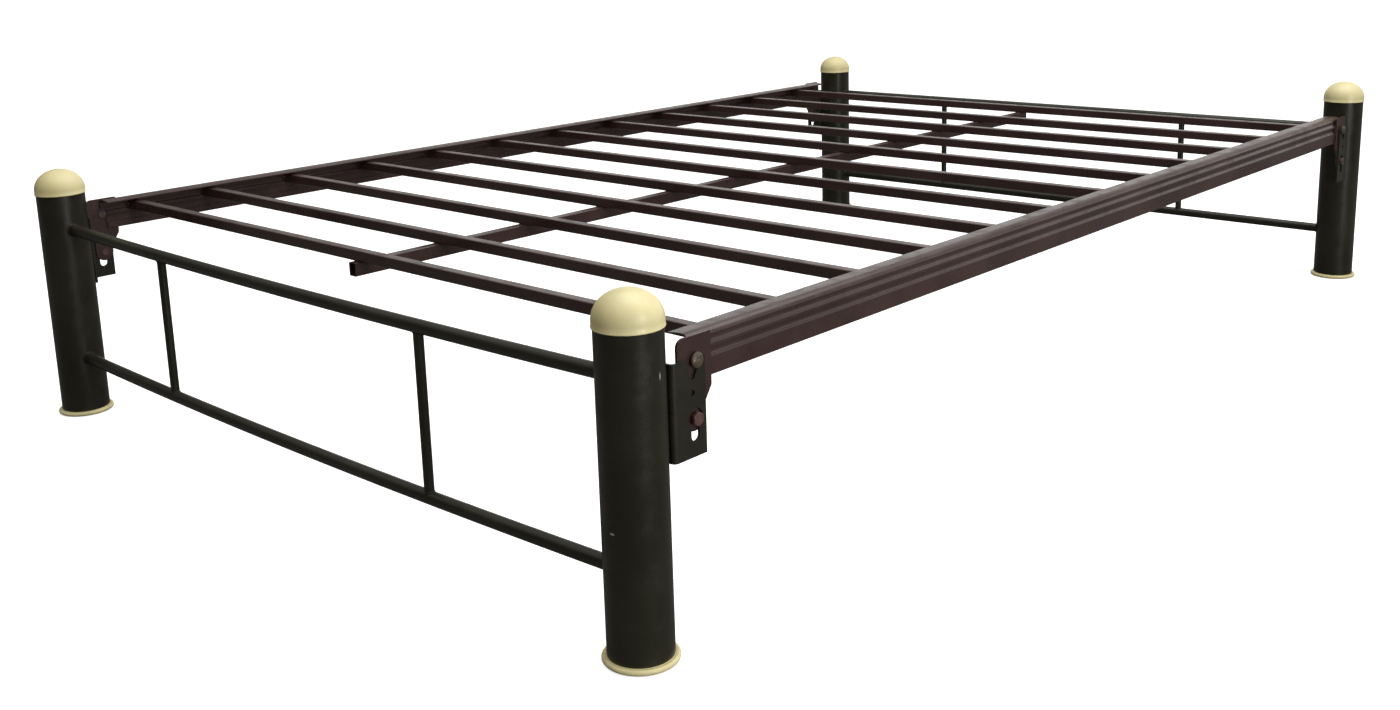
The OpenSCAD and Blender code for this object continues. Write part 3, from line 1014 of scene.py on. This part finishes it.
class BEDFRAME_OT_end_plates(bpy.types.Operator):
    """Add the plates on the ends of the side rails, with their welds"""

    bl_idname = "bed_frame.end_plates"
    bl_label = "End Plates"

    def execute(self, context):
        sizes = context.scene.bed_frame_sizes
        chance = chance_for(2)
        near = POST_Y - PLATE_HIGH.y
        far = POST_Y - PLATE_LOW.y
        inner, outer = PLATE_LOW.x - POST_X, PLATE_HIGH.x - POST_X
        top = PLATE_HIGH.z
        hook, key = sizes.hook_u, sizes.keyhole_u
        stud_z = BRACKET_HIGH.z - sizes.keyhole_drop
        reach = sizes.tongue
        outline = rounded([
            (key - reach, stud_z - reach, reach * 0.98), (key - reach, stud_z + 18 * MM, 4 * MM),
            (near, stud_z + 28 * MM, 5 * MM), (near, top, 10 * MM), (far, top, 2 * MM),
            (far, RAIL_LOW.z - 9 * MM, 5 * MM), (key + reach, stud_z + 10 * MM, 6 * MM),
            (key + reach, stud_z - reach, reach * 0.98),
        ], steps=8)
        holes = [round_hole((hook, UPPER_STUD_Z), UPPER_SHANK_R),
                 round_hole((key, stud_z), LOWER_SHANK_R)]
        for name, side, end in CORNERS:
            at = from_corner(side, end)
            solid = prism([outline, *holes], inner, outer, lambda u, z, x: at(x, u, z))
            piece = add_painted(f"{name}_hook_plate", solid, "Chocolate Paint",
                                f"end_plate_{name}")
            round_cut_edges(piece, sizes.cut_edge)
            rail_u = POST_Y - RAIL_HIGH.y + sizes.rail_notch
            seams = ((inner, far + 0.3 * MM, top - 14 * MM),
                     (inner - 0.4 * MM, rail_u - 0.2 * MM, top - 18 * MM))
            beads = [weld_bead(straight_path(at(x, u, RAIL_LOW.z + 2 * MM), at(x, u, high)),
                               0.75 * sizes.bead, chance) for x, u, high in seams]
            add_welds(f"{name}_plate", beads, "Brown Weld")
        return {"FINISHED"}


def rail_outline(sizes, low=0.0):
    """A side rail's folded sheet, from a height up: x is outward from the top's free edge.

    The sheet has a crowned top, a round shoulder, a web with two grooves and a turned-up hem.
    """
    width, height = RAIL_HIGH.x - RAIL_LOW.x, RAIL_HIGH.z - RAIL_LOW.z
    sheet, shoulder, crown = sizes.rail_wall, sizes.rail_shoulder, sizes.rail_crown
    middle = width - shoulder
    start_z, step = low + 1 * MM, 0.5 * MM
    count = round((height - 6 * MM - start_z) / step)
    levels = [start_z + step * i for i in range(count + 1)]

    def wall(z, inset):
        x = width - inset
        rise = z - (height - shoulder)
        if rise > 0:
            x += math.sqrt((shoulder - inset) ** 2 - rise**2) - (shoulder - inset)
        for drop, radius in GROOVES:
            reach, off = radius + inset, z - (height - drop)
            if abs(off) < reach:
                x = min(x, width + radius - GROOVE_DEPTH - math.sqrt(reach**2 - off**2))
        return x

    def softened(inset):
        spread = [-2, -1, 0, 1, 2]
        return [(sum(wall(z + k * 0.45 * MM, inset) for k in spread) / len(spread), z)
                for z in levels]

    def over(inset):
        rise = levels[-1] - height + shoulder
        start = math.degrees(math.asin(rise / (shoulder - inset))) + 4
        end = 90 + math.degrees(math.asin((middle - 0.3 * MM) / (crown - inset)))
        return (arc((middle, height - shoulder), shoulder - inset, start, 90, 12)
                + arc((middle, height - crown), crown - inset, 90, end, 14)[1:])

    sweep = softened(0) + over(0) + over(sheet)[::-1] + softened(sheet)[::-1]
    if low:
        return [(width, low), *sweep, (width - sheet, low)]
    hem, back = sizes.rail_hem, width - 2 * sheet
    inside = [(x, z) for x, z in sweep if x > back - 0.01 * MM or z > hem]
    fold, edge = 0.8 * MM, 0.5 * MM
    return inside + [(width - sheet - 0.2 * MM, hem), (back + edge, hem), (back, hem - edge),
                     (back, fold), (back + fold, 0), (width - fold, 0)]


class BEDFRAME_OT_side_rails(bpy.types.Operator):
    """Add the grooved side rails"""

    bl_idname = "bed_frame.side_rails"
    bl_label = "Side Rails"

    def execute(self, context):
        sizes = context.scene.bed_frame_sizes
        notch = sizes.rail_notch
        notch_top = BRACKET_HIGH.z + 7 * MM - RAIL_LOW.z
        low, high = RAIL_LOW.y, RAIL_HIGH.y
        for name, side in SIDES:
            def place(x, z, y, side=side):
                return Vector((side * (RAIL_LOW.x + x), y, RAIL_LOW.z + z))
            whole = prism([rail_outline(sizes)], low + notch, high - notch, place)
            add_painted(f"{name}_side_rail", whole, "Chocolate Paint", f"{name}_rail", flat=True)
            upper = [rail_outline(sizes, notch_top)]
            tips = [prism(upper, low, low + notch, place), prism(upper, high - notch, high, place)]
            add_painted(f"{name}_side_rail_tips", join(tips), "Chocolate Paint", flat=True)
        return {"FINISHED"}


def square_tube(low, high, start, end, place):
    """A rounded square tube from start to end, in a section from low to high."""
    sizes = bpy.context.scene.bed_frame_sizes
    corner, wall = sizes.slat_corner, sizes.slat_wall
    outlines = []
    for inset, radius in ((0, corner), (wall, max(corner - wall, 0.3 * MM))):
        (x0, z0), (x1, z1) = [(a + way * inset, b + way * inset)
                              for (a, b), way in ((low, 1), (high, -1))]
        outlines.append(rounded([(x0, z0, radius), (x1, z0, radius), (x1, z1, radius),
                                 (x0, z1, radius)], steps=5))
    return prism(outlines, start, end, place)


class BEDFRAME_OT_slats(bpy.types.Operator):
    """Add the cross slats, with their welds to the side rails"""

    bl_idname = "bed_frame.slats"
    bl_label = "Slats"

    def execute(self, context):
        sizes = context.scene.bed_frame_sizes
        chance = chance_for(3)
        beads = {side: [] for _, side in SIDES}
        for i in range(1, SLAT_COUNT + 1):
            node = f"slat_{i:02d}"
            low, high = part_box(node)
            tube = square_tube((low.y, low.z), (high.y, high.z), low.x, high.x,
                               lambda y, z, x: Vector((x, y, z)))
            add_painted(f"cross_{node}", tube, "Chocolate Paint", node, flat=True)
            for _, side in SIDES:
                x = side * (high.x - 0.5 * MM)
                gap = 0.2 * MM
                for y in (low.y - gap, high.y + gap):
                    path = straight_path((x, y, low.z + 1 * MM), (x, y, high.z - 2 * MM), 1 * MM)
                    beads[side].append(weld_bead(path, 0.8 * sizes.bead, chance))
                path = straight_path((x, low.y + 1 * MM, low.z), (x, high.y - 1 * MM, low.z),
                                     1 * MM)
                beads[side].append(weld_bead(path, 0.7 * sizes.bead, chance))
        for name, side in SIDES:
            add_welds(f"{name}_slat", beads[side], "Brown Weld")
        return {"FINISHED"}


class BEDFRAME_OT_centre_tube(bpy.types.Operator):
    """Add the centre tube under the slats, with its welds"""

    bl_idname = "bed_frame.centre_tube"
    bl_label = "Centre Tube"

    def execute(self, context):
        sizes = context.scene.bed_frame_sizes
        chance = chance_for(4)
        tube = square_tube((SPINE_LOW.x, SPINE_LOW.z), (SPINE_HIGH.x, SPINE_HIGH.z),
                           SPINE_LOW.y, SPINE_HIGH.y, lambda x, z, y: Vector((x, y, z)))
        add_painted("centre_spine", tube, "Chocolate Paint", "centre_tube", flat=True)
        beads = []
        for i in range(1, SLAT_COUNT + 1):
            low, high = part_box(f"slat_{i:02d}")
            z = SPINE_HIGH.z - 0.3 * MM
            for x in (SPINE_LOW.x + 0.2 * MM, SPINE_HIGH.x - 0.2 * MM):
                path = straight_path((x, low.y + 1.5 * MM, z), (x, high.y - 1.5 * MM, z), 1 * MM)
                beads.append(weld_bead(path, 0.8 * sizes.bead, chance))
        add_welds("centre_spine", beads, "Brown Weld")
        return {"FINISHED"}


def stud_rings(profile, steps, hex_from=None):
    """Rings of a stud along its own axis, from (radius, level).

    Above the level hex_from the rings are cut to a hexagon as wide as the widest of them.
    """
    flat = max(r for r, _ in profile) * math.cos(math.pi / 6)
    rings = []
    for radius, level in profile:
        ring = []
        for a in full_turn(steps):
            r = radius
            if hex_from is not None and level > hex_from:
                r = min(r, flat / math.cos((a + math.pi / 6) % (math.pi / 3) - math.pi / 6))
            ring.append((r * math.cos(a), r * math.sin(a), level))
        rings.append(ring)
    return rings


def stud_profile(shank, seat, head):
    """A stud's riveted tail, its shank through the plate and its head, as (radius, level)."""
    return [(0, -TAIL), (shank + 1 * MM, -TAIL), (shank + 1.5 * MM, -TAIL / 2),
            (shank + 1.5 * MM, 0), (shank, 0), (shank, seat), *head]


class BEDFRAME_OT_studs(bpy.types.Operator):
    """Add the riveted studs that hook the end plates to the brackets"""

    bl_idname = "bed_frame.studs"
    bl_label = "Studs"

    def execute(self, context):
        sizes = context.scene.bed_frame_sizes
        base = PLATE_LOW.x - POST_X
        seat = BRACKET_HIGH.x - POST_X + 0.3 * MM - base
        _, dome_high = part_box("upper_studs")
        _, hex_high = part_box("lower_studs")
        dome_h = dome_high.x - POST_X - base - seat
        hex_h = hex_high.x - POST_X - base - seat
        turn = math.pi / 2
        dome = [(UPPER_HEAD_R * math.cos(turn * i / 10) ** 0.8, seat + 1 * MM
                 + (dome_h - 1 * MM) * math.sin(turn * i / 10)) for i in range(11)]
        upper = stud_profile(UPPER_SHANK_R, seat, [
            (UPPER_HEAD_R - 0.4 * MM, seat), (UPPER_HEAD_R, seat + 0.4 * MM), *dome])
        lower = stud_profile(LOWER_SHANK_R, seat, [
            (LOWER_HEAD_R - inset * MM, seat + rise) for inset, rise in (
                (0.3, 0), (0, 0.3 * MM), (0, 0.62 * hex_h), (0.35, 0.78 * hex_h),
                (1, 0.9 * hex_h), (1.7, 0.97 * hex_h), (2.6, hex_h))] + [(0, seat + hex_h)])
        tones = context.scene.bed_frame_finishes
        makes = (
            ("hook_studs", "upper_studs", sizes.hook_u, UPPER_STUD_Z, stud_rings(upper, 48),
             worn_stud("Hook Stud", tones.upper_stud, tones.upper_stud_light, 0.06)),
            ("keyhole_studs", "lower_studs", sizes.keyhole_u,
             BRACKET_HIGH.z - sizes.keyhole_drop, stud_rings(lower, 72, seat - 0.1 * MM),
             worn_stud("Keyhole Stud", tones.brown_light, tones.lower_stud_light, 0.0)),
        )
        for title, node, u, z, rings, finish in makes:
            solids = []
            for _, side, end in CORNERS:
                at = from_corner(side, end)
                placed = [[at(base + level, u + a, z + b) for a, b, level in ring]
                          for ring in rings]
                solids.append(loft(placed))
            add_piece(title, join(solids), finish, "stud_paint", node, crease=40)
        return {"FINISHED"}


class BEDFRAME_OT_stage(bpy.types.Operator):
    """Add the floor, the soft light and the camera"""

    bl_idname = "bed_frame.stage"
    bl_label = "Stage"

    def execute(self, context):
        stage = context.scene.bed_frame_stage
        half = stage.floor_size / 2
        low = -0.5 * MM
        points = [(-half, -half, low), (half, -half, low), (half, half, low), (-half, half, low)]
        mesh = bpy.data.meshes.new("floor")
        mesh.from_pydata(points, [], [(0, 1, 2, 3)])
        mesh.materials.append(pale_floor())
        floor = bpy.data.objects.new("floor", mesh)
        context.scene.collection.objects.link(floor)

        context.scene.world = studio_light(stage.sky)

        for title, place, aim, size, power in (
            ("top_softbox", (0.6, 0.4, 3.4), (0.0, 0.0, 0.0), (3.4, 3.4), 75.0),
            ("side_softbox", (4.6, -1.3, 1.2), (0.4, -0.8, 0.3), (1.3, 2.2), 95.0),
        ):
            light = bpy.data.lights.new(title, "AREA")
            light.shape = "RECTANGLE"
            light.size, light.size_y = size
            light.energy = power
            lamp = bpy.data.objects.new(title, light)
            lamp.location = place
            lamp.rotation_euler = (Vector(aim) - Vector(place)).to_track_quat("-Z", "Y").to_euler()
            context.scene.collection.objects.link(lamp)

        data = bpy.data.cameras.new("camera")
        data.lens = stage.lens
        data.sensor_width = 36.0
        data.shift_x, data.shift_y = stage.shift
        data.clip_end = 200.0
        camera = bpy.data.objects.new("camera", data)
        sight = Vector((math.sin(stage.heading) * math.cos(stage.tilt),
                        math.cos(stage.heading) * math.cos(stage.tilt), math.sin(stage.tilt)))
        right = Vector((math.cos(stage.heading), -math.sin(stage.heading), 0.0))
        up = right.cross(sight)
        lean, rise = math.sin(stage.roll), math.cos(stage.roll)
        right, up = rise * right + lean * up, rise * up - lean * right
        turn = Matrix((right, up, -sight)).transposed().to_4x4()
        camera.matrix_world = Matrix.Translation(stage.camera_place) @ turn
        context.scene.collection.objects.link(camera)
        context.scene.camera = camera
        context.scene.view_settings.view_transform = "Standard"
        return {"FINISHED"}


# ---- Add-on ----

PIECE_OPERATORS = (
    BEDFRAME_OT_posts,
    BEDFRAME_OT_caps,
    BEDFRAME_OT_feet,
    BEDFRAME_OT_cross_tubes,
    BEDFRAME_OT_uprights,
    BEDFRAME_OT_end_frame_welds,
    BEDFRAME_OT_brackets,
    BEDFRAME_OT_end_plates,
    BEDFRAME_OT_side_rails,
    BEDFRAME_OT_slats,
    BEDFRAME_OT_centre_tube,
    BEDFRAME_OT_studs,
    BEDFRAME_OT_stage,
)


class BEDFRAME_PT_panel(bpy.types.Panel):
    """Lists the bed frame's pieces and its settings"""

    bl_label = "Bed Frame"
    bl_idname = "BEDFRAME_PT_panel"
    bl_space_type = "VIEW_3D"
    bl_region_type = "UI"
    bl_category = "Bed Frame"

    def draw(self, context):
        layout = self.layout
        for operator in PIECE_OPERATORS:
            layout.operator(operator.bl_idname)
        for label in SETTINGS:
            settings = getattr(context.scene, label)
            box = layout.box()
            box.label(text=label.replace("_", " ").capitalize())
            for name in settings.__annotations__:
                box.prop(settings, name)


SETTINGS = {
    "bed_frame_sizes": BedFrameSizes,
    "bed_frame_finishes": BedFrameFinishes,
    "bed_frame_stage": BedFrameStage,
}
CLASSES = (*SETTINGS.values(), *PIECE_OPERATORS, BEDFRAME_PT_panel)


def register():
    """Adds the classes and the scene's settings."""
    for cls in CLASSES:
        bpy.utils.register_class(cls)
    for label, group in SETTINGS.items():
        setattr(bpy.types.Scene, label, PointerProperty(type=group))


def unregister():
    """Takes the settings and the classes away again."""
    for label in SETTINGS:
        delattr(bpy.types.Scene, label)
    for cls in reversed(CLASSES):
        bpy.utils.unregister_class(cls)


def main():
    """Builds every piece and the stage."""
    register()
    for operator in PIECE_OPERATORS:
        family, name = operator.bl_idname.split(".")
        getattr(getattr(bpy.ops, family), name)()


if __name__ == "__main__":
    main()
